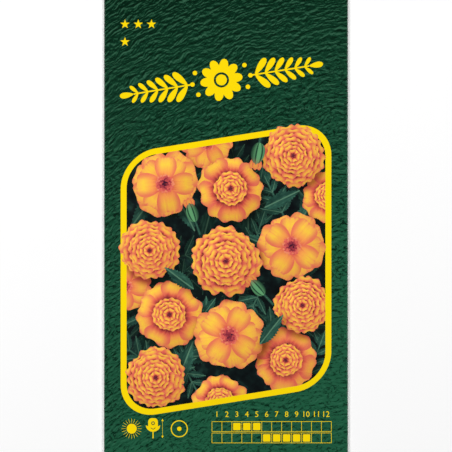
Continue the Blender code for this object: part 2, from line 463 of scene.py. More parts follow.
def paint_leather(tree):
    place = on_sheet(tree)
    wandering = swayed(tree, place)
    wrinkled = along_wrinkles(tree, wandering)
    calm = calmness(tree, place)
    depth = sums(tree, "MULTIPLY_ADD", calm, -CALM_LOSS, 1.0)
    flat_share = sums(tree, "MULTIPLY_ADD", calm, CALM_EXTRA, flatness(tree, place))
    relief = embossed(tree, wrinkled, depth)
    valleys = colours_along(tree, relief, VALLEYS)
    skin = blend(tree, flat_share, valleys, colours_along(tree, relief, FLATS))
    cracked = sums(tree, "MULTIPLY", cracks(tree, wrinkled, wandering), between(tree, flat_share, 0.1, 0.4))
    return blend(tree, sums(tree, "MULTIPLY", cracked, depth), skin, CRACK_TONE)


# %% [markdown]
# ## Inks of the picture
# A petal's colour runs from a dark throat to gold and on to a rosy rim, and fine veins follow its length.
# A leaf has a pale midrib, and one half of it is darker, as if it were folded along the rib. These
# painters read the motif's own measure, so the same few nodes serve hundreds of petals, each with its own
# tint and light. In the shade, red falls least and green most, which keeps an orange petal warm.

# %% Painters for petals and florets
WARM_SHADE = (0.75, 1.25, 0.95)
TINT_SPREAD = 57.0
PETAL_STOPS = [
    (0.0, tone(132, 40, 46)), (0.2, tone(220, 92, 74)), (0.42, tone(252, 162, 80)),
    (0.70, tone(255, 204, 68)), (0.90, tone(255, 186, 80)), (1.0, tone(236, 124, 96))]
FLORET_STOPS = [
    (0.0, tone(60, 22, 44)), (0.35, tone(156, 52, 66)),
    (0.7, tone(224, 96, 88)), (1.0, tone(240, 142, 104))]


def motif_noise(tree, axes, along, across, detail=3.0):
    """Noise drawn out along the motif, different for each tint."""
    place = three(tree, sums(tree, "MULTIPLY", axes[0], along), sums(tree, "MULTIPLY", axes[1], across),
                  sums(tree, "MULTIPLY", axes[2], TINT_SPREAD))
    return noise(tree, place, scale=1.0, detail=detail)


def part_way(tree, share, amount, first, second):
    """A blend that goes no further than the amount."""
    return blend(tree, sums(tree, "MULTIPLY", share, amount), first, second)


def paint_petal(tree):
    axes = on_motif(tree)
    veins = motif_noise(tree, axes, along=1.2, across=5.0)
    uneven = sums(tree, "MULTIPLY", sums(tree, "SUBTRACT", veins, 0.5), 0.35)
    length = colours_along(tree, sums(tree, "ADD", axes[0], uneven), PETAL_STOPS)
    side = between(tree, sums(tree, "ABSOLUTE", axes[1]), 0.30, 0.95)
    rosy = part_way(tree, side, 0.85, length, tone(232, 104, 90))
    ridged = part_way(tree, between(tree, veins, 0.52, 0.72), 0.40, rosy, tone(244, 136, 84))
    tinted = part_way(tree, between(tree, axes[2], 0.45, 1.0), 0.40, ridged, tone(238, 118, 84))
    return lit(tree, tinted, WARM_SHADE)


def paint_floret(tree):
    return lit(tree, colours_along(tree, on_motif(tree)[2], FLORET_STOPS), WARM_SHADE)


# %% Painters for leaves, buds and the dark gaps between them
LEAF_STOPS = [(0.25, tone(26, 57, 49)), (0.55, tone(48, 92, 77)), (0.8, tone(78, 130, 107))]
GAP_STOPS = [(0.35, tone(6, 10, 13)), (0.55, tone(12, 24, 24)), (0.72, tone(26, 52, 46))]


def paint_leaf(tree):
    axes = on_motif(tree)
    blade = colours_along(tree, motif_noise(tree, axes, along=6.0, across=3.0, detail=4.0), LEAF_STOPS)
    folded_blade = part_way(tree, between(tree, axes[1], -0.2, 0.2), 0.42, blade, tone(12, 40, 36))
    rib = between(tree, sums(tree, "ABSOLUTE", axes[1]), 0.16, 0.03)
    return lit(tree, part_way(tree, rib, 0.6, folded_blade, tone(112, 160, 128)))


def paint_calyx(tree):
    """Ribs at equal steps round a barrel whose half width is sqrt(1.1 - (2.3 along - 1)^2)."""
    axes = on_motif(tree)
    middle = sums(tree, "MULTIPLY_ADD", axes[0], 2.3, -1.0)
    waist = sums(tree, "SQRT", sums(tree, "SUBTRACT", 1.1, sums(tree, "MULTIPLY", middle, middle)))
    around = sums(tree, "DIVIDE", axes[1], waist)
    ribs = sums(tree, "SINE", sums(tree, "MULTIPLY", around, 8.0))
    ribbed = blend(tree, between(tree, ribs, -0.95, -0.3), tone(36, 74, 54), tone(96, 158, 108))
    shade = between(tree, sums(tree, "ABSOLUTE", sums(tree, "SUBTRACT", around, 0.25)), 0.2, 1.2)
    green = part_way(tree, shade, 0.9, ribbed, tone(14, 38, 32))
    return lit(tree, blend(tree, between(tree, axes[0], 0.55, 0.95, 0.0, 0.7), green, tone(150, 104, 84)))


def paint_gap(tree):
    return colours_along(tree, noise(tree, on_sheet(tree), scale=0.22, detail=2.0), GAP_STOPS)


def flat_tone(*colour):
    """A painter that lays down one even print colour."""
    def paint(tree):
        node = add_node(tree, "ShaderNodeRGB")
        node.outputs[0].default_value = tone(*colour)
        return node.outputs[0]
    return paint


# %% All the inks
INKS = {
    "leather_green": make_ink("leather_green", paint_leather, mottle=0.16),
    "frame_yellow": make_ink("frame_yellow", flat_tone(255, 221, 4), mottle=0.05),
    "picture_gap": make_ink("picture_gap", paint_gap),
    "leaf_green": make_ink("leaf_green", paint_leaf),
    "petal_gold": make_ink("petal_gold", paint_petal, mottle=0.12),
    "floret_red": make_ink("floret_red", paint_floret),
    "calyx_green": make_ink("calyx_green", paint_calyx),
    "panel_cream": make_ink("panel_cream", flat_tone(243, 236, 205), mottle=0.06),
    "panel_green": make_ink("panel_green", flat_tone(28, 76, 50), mottle=0.10),
}
print("inks:", list(INKS))

# %% [markdown]
# ## Composing the picture
# The frame is a rounded box whose ends lean: the further right, the higher. The picture inside it is
# composed before anything is drawn, since everything else is hidden or shaded by it: which kind of
# blossom stands where, how large, how warm its tint is, and whether the window's edge cuts it. Later ones
# lie over earlier ones.

# %% The frame, and the lean that it shares with all in it
FRAME_BOX = (-34.5, -58.0, 34.5, 29.1)
FRAME_LINE = 1.95
FRAME_RADIUS = 11.5
LEFT, BOTTOM, RIGHT, TOP = FRAME_BOX
WINDOW_BOX = (LEFT + FRAME_LINE, BOTTOM + FRAME_LINE, RIGHT - FRAME_LINE, TOP - FRAME_LINE)
LEAN = 0.16


def leaning(points):
    """x stays, and y becomes y + lean x."""
    points = np.asarray(points, float)
    return points + points[..., :1] * (0, LEAN)


# %% Blossoms, the lower ones first: kind, centre before the lean, radius, warmth, held in the window
BOUQUET = (
    ("open", (-6.0, 28.0), 8.8, 0.55, True),
    ("crested", (33.5, 4.5), 8.6, 0.35, True),
    ("open", (-33.0, -14.5), 9.0, 0.7, True),
    ("crested", (-2.0, -57.0), 9.0, 0.35, True),
    ("open", (-20.0, 17.0), 11.4, 0.45, True),
    ("open", (21.5, -10.0), 11.4, 0.55, False),
    ("crested", (-18.5, -26.0), 10.6, 0.25, True),
    ("pompon", (22.0, 19.5), 10.2, 0.45, False),
    ("crested", (19.5, -47.0), 10.4, 0.6, True),
    ("pompon", (-23.0, -46.0), 10.0, 0.55, False),
    ("pompon", (25.0, -30.0), 9.4, 0.3, True),
    ("pompon", (-25.0, -4.0), 9.8, 0.6, False),
    ("crested", (1.5, 12.0), 10.6, 0.3, True),
    ("open", (1.0, -36.0), 11.8, 0.5, True),
    ("pompon", (0.0, -11.5), 11.4, 0.4, True),
)
BLOSSOMS = [(kind, leaning(centre), *more) for kind, centre, *more in BOUQUET]
print("blossoms:", len(BLOSSOMS))

# %% [markdown]
# ## A print is a list of outlines
# Each motif is a ring of points, an ink and a small frame of its own: where it starts, which way it
# points, how long and how wide it is. Each could be a mesh of its own, a hair above the sheet, but then
# they would flicker and couldn't be folded together. So they are only listed in painter's order, and the
# last one down hides what is under it. Motifs of the picture are held inside its window, unless they are
# meant to break over the frame.

# %% The list of motifs, and helpers for their rings of points
motifs = []
NO_BLOSSOM = -1
OVER_ALL = 99
# A blossom surely hides what lies within this share of its radius
CORE = 0.8


def turned(points, angle, scale=1.0, at=(0.0, 0.0)):
    """Points turned by an angle, scaled, and moved."""
    cos, sin = math.cos(angle), math.sin(angle)
    return np.asarray(points) @ np.array([[cos, sin], [-sin, cos]]) * scale + np.asarray(at)


def anticlockwise(ring):
    """The ring, reversed if the sum of x_i y_(i+1) - x_(i+1) y_i is negative."""
    ring = np.asarray(ring, float)
    x, y = ring.T
    twice_area = np.sum(x * np.roll(y, -1) - np.roll(x, -1) * y)
    return ring if twice_area > 0 else ring[::-1]


def hidden(points, level):
    """Whether the points all lie under the core of one higher blossom, or all beside the window."""
    for number, (_, centre, radius, _, _) in enumerate(BLOSSOMS):
        if number > level and np.linalg.norm(points - centre, axis=1).max() < CORE * radius:
            return True
    left, bottom, right, top = WINDOW_BOX
    x, y = points.T
    y = y - LEAN * x
    return x.max() < left or x.min() > right or y.max() < bottom or y.min() > top


# %% How a motif is added
def lay_down(ink, rings, at=(0, 0), angle=0.0, length=1.0, half=1.0, tint=0.5,
             level=NO_BLOSSOM, held=False, light=1.0):
    """Adds a motif: its outlines in millimetres on the flat sheet, and its own measure for the painter."""
    if held and hidden(np.concatenate(rings), level):
        return
    rings = [anticlockwise(ring) for ring in rings]
    motifs.append({"ink": ink, "rings": rings, "at": at, "angle": angle, "length": length, "half": half,
                   "tint": tint, "level": level, "held": held, "light": light})


# %% [markdown]
# ## Outlines worked out by formula
# A rounded rectangle, a star and a disc are the plain shapes. A petal is an egg-shaped loop whose outer
# end may ripple, and a leaflet is a sine arch with teeth.

# %% Plain outlines
def disc(radius, sides=24, at=(0, 0)):
    """Points at equal angles on a circle."""
    angle = np.arange(sides) * math.tau / sides
    return np.stack([radius * np.cos(angle), radius * np.sin(angle)], 1) + np.asarray(at)


def rounded_box(left, bottom, right, top, radius, steps=10):
    """Four quarter circles, joined by the straight sides between them."""
    quarter = np.linspace(0, math.pi / 2, steps)
    corners = ((right - radius, top - radius), (left + radius, top - radius),
               (left + radius, bottom + radius), (right - radius, bottom + radius))
    arcs = [np.stack([x + radius * np.cos(quarter + turn), y + radius * np.sin(quarter + turn)], 1)
            for turn, (x, y) in zip(np.arange(4) * math.pi / 2, corners)]
    return np.concatenate(arcs)


def star(radius, at, points=5, waist=0.40):
    """A radius that alternates between the points' and the waist's."""
    angle = math.pi / 2 + np.arange(2 * points) * math.pi / points
    reach = np.where(np.arange(2 * points) % 2, waist, 1.0) * radius
    return np.stack([reach * np.cos(angle), reach * np.sin(angle)], 1) + np.asarray(at)


def stroke(start, end, width):
    """A straight bar from one point to another."""
    start, end = np.asarray(start, float), np.asarray(end, float)
    along = (end - start) / np.linalg.norm(end - start)
    side = np.array([-along[1], along[0]]) * width / 2
    return np.array([start - side, end - side, end + side, start + side])


# %% Petals and leaflets, one long along +X
def petal_outline(width, ruffle=0.0, teeth=5, phase=0.0, start=0.0):
    """x from start to 1 by (1 + cos a) / 2, and y = width sin a (1 + 0.4 cos a).

    The outer end is rippled by ruffle cos(teeth a + phase), times cos(a)^1.4.
    """
    angle = np.concatenate([np.linspace(-1.9, 1.9, 21 if ruffle else 13), [2.5, math.pi, -2.5]])
    outer = np.clip(np.cos(angle), 0, 1) ** 1.4
    ripple = outer * ruffle * np.cos(teeth * angle + phase)
    x = start + (1 - start) * (0.5 + 0.5 * np.cos(angle)) + ripple
    y = width * np.sin(angle) * (1 + 0.4 * np.cos(angle))
    return np.stack([x, y], 1)


def leaflet_outline(width, teeth):
    """Half width = width sin(pi x^0.8), and every second point is a tooth that leans forward."""
    count = 2 * teeth
    share = np.arange(count + 1) / count
    tooth = np.where(np.arange(count + 1) % 2, 1.0, 0.0)
    half = width * np.sin(math.pi * share**0.8) * (1 + 0.30 * tooth)
    x = share + tooth * 0.35 / count
    x[-1] = 1.0
    half[-1] = 0.0
    upper = np.stack([x, half], 1)
    lower = np.stack([x[1:-1], -half[1:-1]], 1)[::-1]
    return np.concatenate([upper, lower])


# %% [markdown]
# ## Blossoms and leaves
# Three kinds of blossom are drawn: a full pompon of many ruffled rings, a crested one with a broad skirt
# round a small pompon, and an open one with two rings of broad petals round a disc of florets. In the
# first two, a petal's measure starts where the ring above it ends, so its dark throat always lies in the
# shadow of that ring.

# %% A direction, and a random tint
def ray(angle):
    """The point at distance 1 in a direction."""
    return np.array([math.cos(angle), math.sin(angle)])


def near(value, below, above):
    """A random value round another, kept between 0 and 1."""
    return float(np.clip(value + random.uniform(-below, above), 0, 1))


# %% Rings of petals and discs of florets
def petal_ring(centre, reach, covered, count, width, ruffle, turn, warmth, level, held):
    """Petals at equal angles out to reach, every second one on top.

    The painter's measure runs from covered, where the next ring lies, to the tip.
    """
    depth, teeth = ruffle
    order = np.concatenate([np.arange(0, count, 2), np.arange(1, count, 2)])
    for number in order:
        angle = turn + (number + random.uniform(-0.2, 0.2)) * math.tau / count
        size = reach * random.uniform(0.92, 1.04)
        own_width = width * random.uniform(0.9, 1.1)
        phase = math.pi + random.uniform(-0.8, 0.8)
        shape = petal_outline(own_width, depth, teeth, phase, 0.75 * covered / size)
        tint = near(warmth, 0.22, 0.22)
        lay_down("petal_gold", [turned(shape, angle, size, centre)], centre + covered * ray(angle), angle,
                 size - covered, size * width * 1.1, tint, level, held, random.uniform(0.92, 1.05))


def floret_disc(centre, radius, level, held, count):
    """Round florets on a sunflower spiral, pale outside and dark in the middle."""
    golden = math.pi * (3 - math.sqrt(5))
    for number in range(count, 0, -1):
        share = math.sqrt(number / count)
        at = centre + share * radius * ray(number * golden)
        tint = near(share * 0.95, 0.25, 0.2)
        lay_down("floret_red", [disc(radius * 0.12, 7, at)], at, tint=tint, level=level, held=held)


# %% The three kinds of blossom: rings as shares of the radius and petals, then what shapes the petals
KINDS = {
    "pompon": {"rings": ((1.0, 13), (0.88, 13), (0.75, 12), (0.61, 11), (0.47, 10), (0.34, 8), (0.21, 6)),
               "fullness": 3.5, "ruffle": (0.05, 6), "disc": (0.07, 9)},
    "crested": {"rings": ((1.0, 9), (0.52, 11), (0.42, 10), (0.31, 8), (0.20, 6)),
                "fullness": 3.5, "ruffle": (0.05, 6), "disc": (0.07, 9)},
    "open": {"rings": ((1.0, 8), (0.86, 8)), "fullness": 2.9, "ruffle": (0.055, 4), "disc": (0.26, 90)},
}
RING_TURN = 1.3


def blossom(kind, centre, radius, warmth, held, level):
    """Rings of petals from the outermost in, then the florets."""
    plan = KINDS[kind]
    disc_share, florets = plan["disc"]
    lay_down("floret_red", [disc(radius * 0.5, 30, centre)], centre, tint=0.1, level=level, held=held)
    turn = random.uniform(0, math.tau)
    next_shares = [share for share, _ in plan["rings"][1:]] + [disc_share]
    for number, (share, count) in enumerate(plan["rings"]):
        covered_share = 0.0 if kind == "open" else 0.94 * min(next_shares[number], 0.86 * share)
        petal_ring(centre, radius * share, radius * covered_share, count, plan["fullness"] / count,
                   plan["ruffle"], turn + number * RING_TURN, warmth, level, held)
    floret_disc(centre, radius * disc_share, level, held, florets)


# %% Leaves
def leaf(root, angle, length, tint, light, pairs=4):
    """A feathered leaf: toothed leaflets in pairs along a slim stalk, and one at its end."""
    stalk = stroke(root, root + ray(angle) * length * 0.8, 0.045 * length)
    lay_down("leaf_green", [stalk], root, angle, length, 0.5, tint, held=True, light=light)
    for number in range(pairs):
        share = 0.12 + 0.66 * number / (pairs - 1)
        size = length * (0.46 - 0.16 * share)
        at = root + ray(angle) * length * share
        for side in (1, -1):
            heading = angle + side * (0.95 - 0.35 * share) + random.uniform(-0.12, 0.12)
            own_tint = near(tint, 0.2, 0.2)
            own_light = light * random.uniform(0.8, 1.2)
            leaflet = turned(leaflet_outline(0.15, 9), heading, size, at)
            lay_down("leaf_green", [leaflet], at, heading, size, size * 0.16, own_tint,
                     held=True, light=own_light)
    at = root + ray(angle) * length * 0.72
    end_leaflet = turned(leaflet_outline(0.17, 10), angle, length * 0.42, at)
    lay_down("leaf_green", [end_leaflet], at, angle, length * 0.42, length * 0.07, tint,
             held=True, light=light)


def broad_leaf(root, angle, length, light, level=NO_BLOSSOM):
    """A single toothed blade."""
    blade = turned(leaflet_outline(0.15, 13), angle, length, root)
    tint = random.uniform()
    lay_down("leaf_green", [blade], root, angle, length, length * 0.16, tint, level, True, light)


# %% Buds
def bud(root, angle, length, warmth, level=NO_BLOSSOM):
    """A closed bud: a barrel of ribbed calyx on a stalk, with the tips of the petals just showing."""
    ahead = ray(angle)
    foot = root - ahead * length * 0.6
    stalk = stroke(foot, root + ahead * length * 0.2, 0.11 * length)
    lay_down("leaf_green", [stalk], foot, angle, length * 0.8, 0.06 * length, 0.5, level, True, 0.8)
    at = root + 0.5 * length * ahead
    for turn in (-0.3, 0.3, 0.0):
        tip = turned(petal_outline(0.24, 0.05), angle + turn, length * 0.55, at)
        lay_down("petal_gold", [tip], at, angle + turn, length * 0.55, length * 0.14,
                 warmth, level, True, 0.8)
    around = np.linspace(0, math.tau, 26, endpoint=False)
    lobes = 1 + 0.07 * np.clip(np.cos(around), 0, 1) * np.cos(10 * around)
    x = 0.42 - 0.42 * np.cos(around + math.pi) * lobes
    y = 0.27 * np.sin(around) * (1 - 0.12 * np.cos(around))
    barrel = turned(np.stack([x, y], 1), angle, length, root)
    lay_down("calyx_green", [barrel], root, angle, length, length * 0.27, 0.5, level, True)


# %% [markdown]
# ## The front
# A green ground, a yellow rounded frame with the flower picture in it, a leafy ornament above, four
# stars, and small growing symbols with a strip of plain month numbers below. The picture is composed like
# a full bouquet, one large pompon in the middle and the others round it, with leaves filling the gaps.

# %% Frame and window
CORNER_POINTS = 24
window_radius = FRAME_RADIUS - FRAME_LINE
lay_down("frame_yellow", [leaning(rounded_box(*FRAME_BOX, FRAME_RADIUS, CORNER_POINTS))])
WINDOW = len(motifs)
lay_down("picture_gap", [leaning(rounded_box(*WINDOW_BOX, window_radius, CORNER_POINTS))])

# %% Leaves fill the window, the deep ones first and darker
for count, light in ((18, 0.3), (18, 0.6), (14, 1.0)):
    for number in range(count):
        root = leaning([random.uniform(-31, 31), random.uniform(-55, 27)])
        leaf(root, random.uniform(0, math.tau), random.uniform(12, 19), random.uniform(), light)
    for number in range(9):
        root = leaning([random.uniform(-30, 30), random.uniform(-53, 25)])
        broad_leaf(root, random.uniform(0, math.tau), random.uniform(13, 18), light)
print("leaf motifs:", len(motifs))

# %% Blossoms over the leaves
for level, (kind, centre, radius, warmth, held) in enumerate(BLOSSOMS):
    blossom(kind, centre, radius, warmth, held, level)
print("motifs with blossoms:", len(motifs))

# %% A few leaves and buds over the blossoms: where they start before the lean, direction and length
OVERLAYS = (
    (broad_leaf, (12.5, 4.0), 0.45, 13.0),
    (broad_leaf, (-10.5, -19.0), 2.5, 12.0),
    (broad_leaf, (11.0, -40.5), 0.9, 12.5),
    (bud, (11.0, 25.5), -1.75, 8.5),
    (bud, (-10.0, 3.0), 1.9, 7.5),
    (bud, (12.5, -24.5), 2.3, 7.5),
)
for make, root, angle, size in OVERLAYS:
    make(leaning(root), angle, size, 0.9, OVER_ALL)

# %% [markdown]
# ## Ornament, stars and symbols
# These are flat yellow shapes. Filled curves would do for them, but as rings of points they join the same
# list as the petals and are cut into the same sheet. The ornament is a rosette between two leafy sprigs,
# mirrored about it. The symbols are the usual ones on such packets: full sun, a plant with its height,
# and the ring and dot of an annual. The strip shows the months as plain numbers, with a row of boxes for
# sowing and one for flowering.


# %% Yellow ornament above the picture
def yellow(*rings):
    lay_down("frame_yellow", list(rings))


def ground(*rings):
    lay_down("leather_green", list(rings))


ORNAMENT = np.array([-1.5, 47.8])
SPRIG_START = 9.6
SPRIG = 19.5


def sprig(side, outward):
    """A stem with leaves in pairs that shorten towards its tip, and two dots beside its start."""
    base = np.array([side * SPRIG_START, 0])
    tip = np.array([side * (SPRIG_START + SPRIG), 0])
    rings = [stroke(base, tip, 0.5), disc(0.75, 14, base), turned(petal_outline(0.2), outward, 4.6, tip)]
    for number, where in enumerate(np.linspace(0.08, 0.92, 6)):
        for turn in (0.85, -0.85):
            foot = base + where * (tip - base)
            rings.append(turned(petal_outline(0.16), outward + turn, 6.4 - 0.55 * number, foot))
    return rings + [disc(0.75, 14, (side * 8.2, up * 3.6)) for up in (1, -1)]


rosette = [turned(petal_outline(0.2), angle, 7.0) for angle in np.arange(10) * math.tau / 10]
for ring in rosette + sprig(1, 0.0) + sprig(-1, math.pi):
    yellow(turned(ring, math.atan(LEAN)) + ORNAMENT)
ground(disc(2.5, 30, ORNAMENT))
yellow(disc(1.8, 24, ORNAMENT))

# %% Stars
STAR_AT = np.array([-33.1, 66.1])
STAR_PITCH = 4.35
STAR_RADIUS = 1.62
for across, down in ((0, 0), (1, 0), (2, 0), (0, 1.33)):
    yellow(star(STAR_RADIUS, STAR_AT + np.array([across, -down]) * STAR_PITCH))


# %% Sun, plant and annual's ring: put prints a ring of points, and cut prints the ground over it
def sun(put, middle):
    put(disc(1.65, 28, middle))
    for angle in np.arange(20) * math.tau / 20:
        put(stroke(middle + ray(angle) * 1.95, middle + ray(angle) * 3.3, 0.11))


def plant(put, cut, foot):
    """A stem, two leaves as a bowl, a rounded flower head, its eye and a notch under it."""
    put(stroke(foot, foot + (0, 3.0), 0.34))
    bowl = np.linspace(math.pi, math.tau, 13)
    rim = np.stack([2.35 * np.cos(bowl), 4.3 + 2.1 * np.sin(bowl)], 1)
    put(np.concatenate([rim, [(1.5, 4.0), (0, 3.2), (-1.5, 4.0)]]) + foot)
    put(rounded_box(-1.6, 2.6, 1.6, 6.7, 1.2, 5) + foot)
    cut(disc(0.62, 16, foot + (0, 5.0)))
    put(disc(0.34, 12, foot + (0, 5.0)))
    for side in (1, -1):
        cut(stroke(foot + (0, 2.95), foot + (side * 0.8, 3.55), 0.2))


def height_arrow(put, foot):
    put(stroke(foot + (0, 0.4), foot + (0, 6.0), 0.09))
    put(np.array([(-0.38, 0.8), (0, 0), (0.38, 0.8)]) + foot)
    put(np.array([(0.38, -0.8), (0, 0), (-0.38, -0.8)]) + foot + (0, 6.4))


def ring_and_dot(put, cut, middle):
    put(disc(2.8, 44, middle))
    cut(disc(2.47, 44, middle))
    put(disc(0.72, 18, middle))


def symbols(put, cut, start):
    """The symbols side by side, from the middle of the sun."""
    start = np.asarray(start, float)
    sun(put, start)
    plant(put, cut, start + (7.0, -3.2))
    height_arrow(put, start + (10.1, -3.1))
    ring_and_dot(put, cut, start + (15.6, 0.0))


symbols(yellow, ground, (-30.9, -66.4))


# %% [markdown]
# ## Plain numbers
# Blender's own font gives the numerals. A text curve is turned into a mesh for a moment, its flat faces
# are read as outlines, and the text is removed again.

# %% Numerals as outlines
SMALLEST_FACE = 1e-5


def points_of(mesh):
    """The mesh's points as rows of x, y and z."""
    flat = np.empty(len(mesh.vertices) * 3)
    mesh.vertices.foreach_get("co", flat)
    return flat.reshape(-1, 3)


def numeral(text, height):
    """The faces of a number, centred on the origin and height tall."""
    curve = bpy.data.curves.new("numeral", "FONT")
    curve.body = text
    curve.resolution_u = 3
    thing = bpy.data.objects.new("numeral", curve)
    bpy.context.scene.collection.objects.link(thing)
    mesh = bpy.data.meshes.new_from_object(thing.evaluated_get(bpy.context.evaluated_depsgraph_get()))
    points = points_of(mesh)[:, :2]
    middle = (points.max(0) + points.min(0)) / 2
    points = (points - middle) * height / np.ptp(points[:, 1])
    rings = [points[list(face.vertices)] for face in mesh.polygons if face.area > SMALLEST_FACE]
    bpy.data.objects.remove(thing)
    bpy.data.curves.remove(curve)
    bpy.data.meshes.remove(mesh)
    return rings


# %% The strip of months
SOWING = (3, 4, 5)
FLOWERING = (6, 7, 8, 9, 10)
LINE = 0.15


def months(put, left, top, cell):
    """The numbers 1 to 12 over two rows of boxes, filled in the months of sowing and of flowering."""
    for number in range(12):
        put(*[ring + (left + (number + 0.5) * cell, top) for ring in numeral(str(number + 1), cell * 0.56)])
    for row, filled in enumerate((SOWING, FLOWERING)):
        foot = top - (1.75 + 1.15 * row) * cell
        for up in (0, cell):
            put(stroke((left, foot + up), (left + 12 * cell, foot + up), LINE))
        for column in range(13):
            put(stroke((left + column * cell, foot), (left + column * cell, foot + cell), LINE))
        for number in filled:
            start = left + (number - 1) * cell
            inset = 0.13 * cell
            put(rounded_box(start + inset, foot + inset, start + cell - inset, foot + cell - inset, 0.3, 4))


months(yellow, left=-4.6, top=-61.6, cell=3.26)
print("motifs on the front:", len(motifs))

# %% [markdown]
# ## The back
# The photograph doesn't show it. Such packets carry their growing advice there, so it has a plain cream
# panel with the same symbols, a larger strip of months and a ruler in plain numbers for the sowing depth.
# The panel crosses the glued seam: it is laid on both returns, and each keeps the part that falls on it.

# %% Lay a motif on the back, on both returns
BACK_SHIFT = 2 * TURN_X + CREASE_RUN


def on_back(ink):
    """A function that lays rings, drawn as the back is seen, on the returns of the flat sheet."""
    def put(*rings):
        for shift in (BACK_SHIFT, -BACK_SHIFT):
            lay_down(ink, [np.asarray(ring) + (shift, 0) for ring in rings])
    return put


cream = on_back("panel_cream")
green_line = on_back("panel_green")
on_back("frame_yellow")(rounded_box(-32.0, -52.0, 32.0, 50.0, 6.0, 18))
cream(rounded_box(-31.0, -51.0, 31.0, 49.0, 5.0, 18))
symbols(green_line, cream, (-22.0, 38.0))
months(green_line, left=-27.0, top=22.0, cell=4.5)

# %% A ruler of five centimetres
RULER_Y = -44.0
RULER = 50
half_ruler = RULER / 2
green_line(stroke((-half_ruler, RULER_Y), (half_ruler, RULER_Y), 0.25))
for step in range(RULER + 1):
    mark = 3.0 if step % 10 == 0 else 2.2 if step % 5 == 0 else 1.4
    green_line(stroke((step - half_ruler, RULER_Y), (step - half_ruler, RULER_Y + mark), 0.2))
for number in range(RULER // 10 + 1):
    middle = (number * 10 - half_ruler, RULER_Y + 4.6)
    green_line(*[ring + middle for ring in numeral(str(number), 2.2)])
print("motifs in all:", len(motifs))

# %% [markdown]
# ## The flat sheet
# The packet could be modelled as it lies, but a flat sheet that is folded later keeps the print and the
# paper's length true. Its outline is that of the blank: the front panel, a return on each side, and a
# flap at each end with rounded corners. Lines that must become folds or steps are kept as edges, and a
# light lattice of points between them lets the paper bend.


# %% Outline of the blank
def quadrant(side_x, side_y, flap):
    """From the return's free edge, past the sheet's corner and its slit, to the flap's rounded corner."""
    beside = FLAP_HALF + CORNER_SLIT
    plain = np.array([
        (FREE_EDGE, RETURN_END), (CORNER_INSET, RETURN_END), (CORNER_INSET, CORNER_END),
        (beside, CORNER_END), (beside, TURN_Y), (FLAP_HALF, TURN_Y), (FLAP_HALF, TURN_Y + CREASE_RUN)])
    quarter = np.linspace(0, math.pi / 2, 7)
    middle = (FLAP_HALF - FLAP_TAPER - FLAP_ROUND, TURN_Y + CREASE_RUN + flap - FLAP_ROUND)
    corner = middle + FLAP_ROUND * np.stack([np.cos(quarter), np.sin(quarter)], 1)
    points = np.concatenate([plain, corner]) * (side_x, side_y)
    return points if side_x * side_y > 0 else points[::-1]


QUADRANTS = ((1, 1, TOP_FLAP), (-1, 1, TOP_FLAP), (-1, -1, BOTTOM_FLAP), (1, -1, BOTTOM_FLAP))
blank = np.concatenate([quadrant(*place) for place in QUADRANTS])
print("blank:", len(blank), "points, from", blank.min(0).round(1), "to", blank.max(0).round(1), "mm")

# %% Straight lines of points
LINE_STEP = 2.2


def straight(across=None, up=None, span=(0.0, 0.0)):
    """At one place across the sheet, or at one height up it, over a span of the other, in short steps."""
    run = np.linspace(*span, 1 + math.ceil(abs(span[1] - span[0]) / LINE_STEP))
    return np.stack([run * 0 + across, run] if across is not None else [run, run * 0 + up], 1)


def on_return_x(x, side):
    """Run along the sheet to the place x on the back, on the return of one side."""
    return side * (TURN_X + CREASE_RUN + TURN_X - side * x)


# %% Fold lines, and step lines where one layer climbs over another
OVERSHOOT = 1.0
crease = np.linspace(0, CREASE_RUN, CREASE_STEPS + 1)
ramp = np.linspace(0, STEP_RAMP, 5)
return_span = (-RETURN_END - OVERSHOOT, RETURN_END + OVERSHOOT)
lines = []
for side in (1, -1):
    lines += [straight(across=side * run, span=return_span) for run in TURN_X + crease]
for side in (1, -1):
    lines += [straight(up=side * row, span=(-CORNER_INSET, CORNER_INSET)) for row in TURN_Y + crease]
for step in ramp:
    beside_seam = on_return_x(-SEAM_HALF - STEP_MARGIN - step, -1)
    lines.append(straight(across=beside_seam, span=(-TURN_Y, TURN_Y)))
for side, flap in ((1, TOP_FLAP), (-1, BOTTOM_FLAP)):
    for step in ramp:
        before_flap = side * (TURN_Y - flap - STEP_MARGIN - step)
        for turn in (1, -1):
            over_return = (turn * (TURN_X + CREASE_RUN), turn * (FREE_EDGE + OVERSHOOT))
            lines.append(straight(up=before_flap, span=over_return))
for side in (1, -1):
    for x in np.linspace(LIFTED_X, TURN_X, 4)[:-1]:
        lines.append(straight(across=side * on_return_x(x, 1), span=(-TURN_Y, TURN_Y)))
print("fold and step lines:", len(lines))


# %% A lattice between the lines, finer on the front and finest in the picture
def lattice(left, bottom, right, top, pitch):
    """Points on a square lattice, every second row moved by half a pitch."""
    x, y = np.meshgrid(np.arange(left, right, pitch), np.arange(bottom, top, pitch))
    x = x + np.where(np.arange(len(y)) % 2, pitch / 2, 0)[:, None]
    return np.stack([x.ravel(), y.ravel()], 1)


# The first box reaches past the ends of both flaps
SHEET_BOX = (-FREE_EDGE, -TURN_Y - 18.0, FREE_EDGE, TURN_Y + 20.0)
FRONT_BOX = (-TURN_X, -TURN_Y, TURN_X, TURN_Y)
PITCHES = ((SHEET_BOX, 2.4), (FRONT_BOX, 1.5), (FRAME_BOX, 0.8))
lattice_points = np.concatenate([lattice(*box, pitch) for box, pitch in PITCHES])
print("lattice points:", len(lattice_points))


# %% [markdown]
# ## Cutting the print into the sheet
# A constrained Delaunay triangulation takes all the outlines at once, crosses them with each other, and
# says for each triangle which outlines cover it. The topmost of those gives the triangle its ink. The
# result is one sheet without gaps or overlaps, however many petals lie over each other.

# %% Triangulate rings, lines and points together
INSIDE_ONLY = 1
SAME_PLACE = 1e-5


